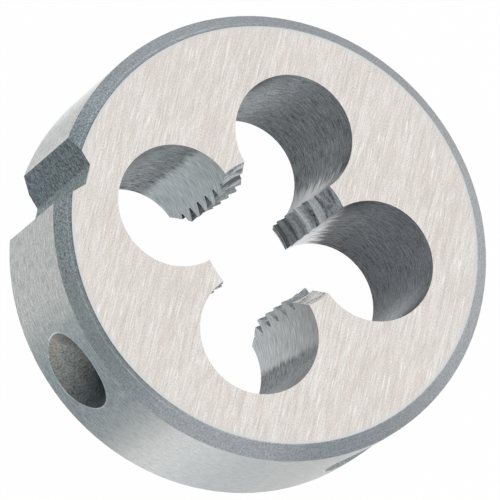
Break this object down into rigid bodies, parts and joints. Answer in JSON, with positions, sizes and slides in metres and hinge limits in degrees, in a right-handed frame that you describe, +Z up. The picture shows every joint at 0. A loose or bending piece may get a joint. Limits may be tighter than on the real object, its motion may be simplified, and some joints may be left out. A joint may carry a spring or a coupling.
{
  "type": "threading die",
  "caption": "Round steel threading die with clearance holes, threaded lands, a rim notch and conical dimples, for cutting an external thread on a rod.",
  "frame": {"origin": "centre of the lower face, on the thread axis", "axes": "+Z runs up along the thread axis from the lower face to the upper one, and the rim notch faces -Y"},
  "size_m": [0.025, 0.0249, 0.009],
  "materials": {
    "tool_steel": "ground faces with a fine straight grain, blue-grey broken rims and drilled holes"
  },
  "bodies": {
    "root": {"threading_die": "tool_steel"}
  },
  "joints": []
}
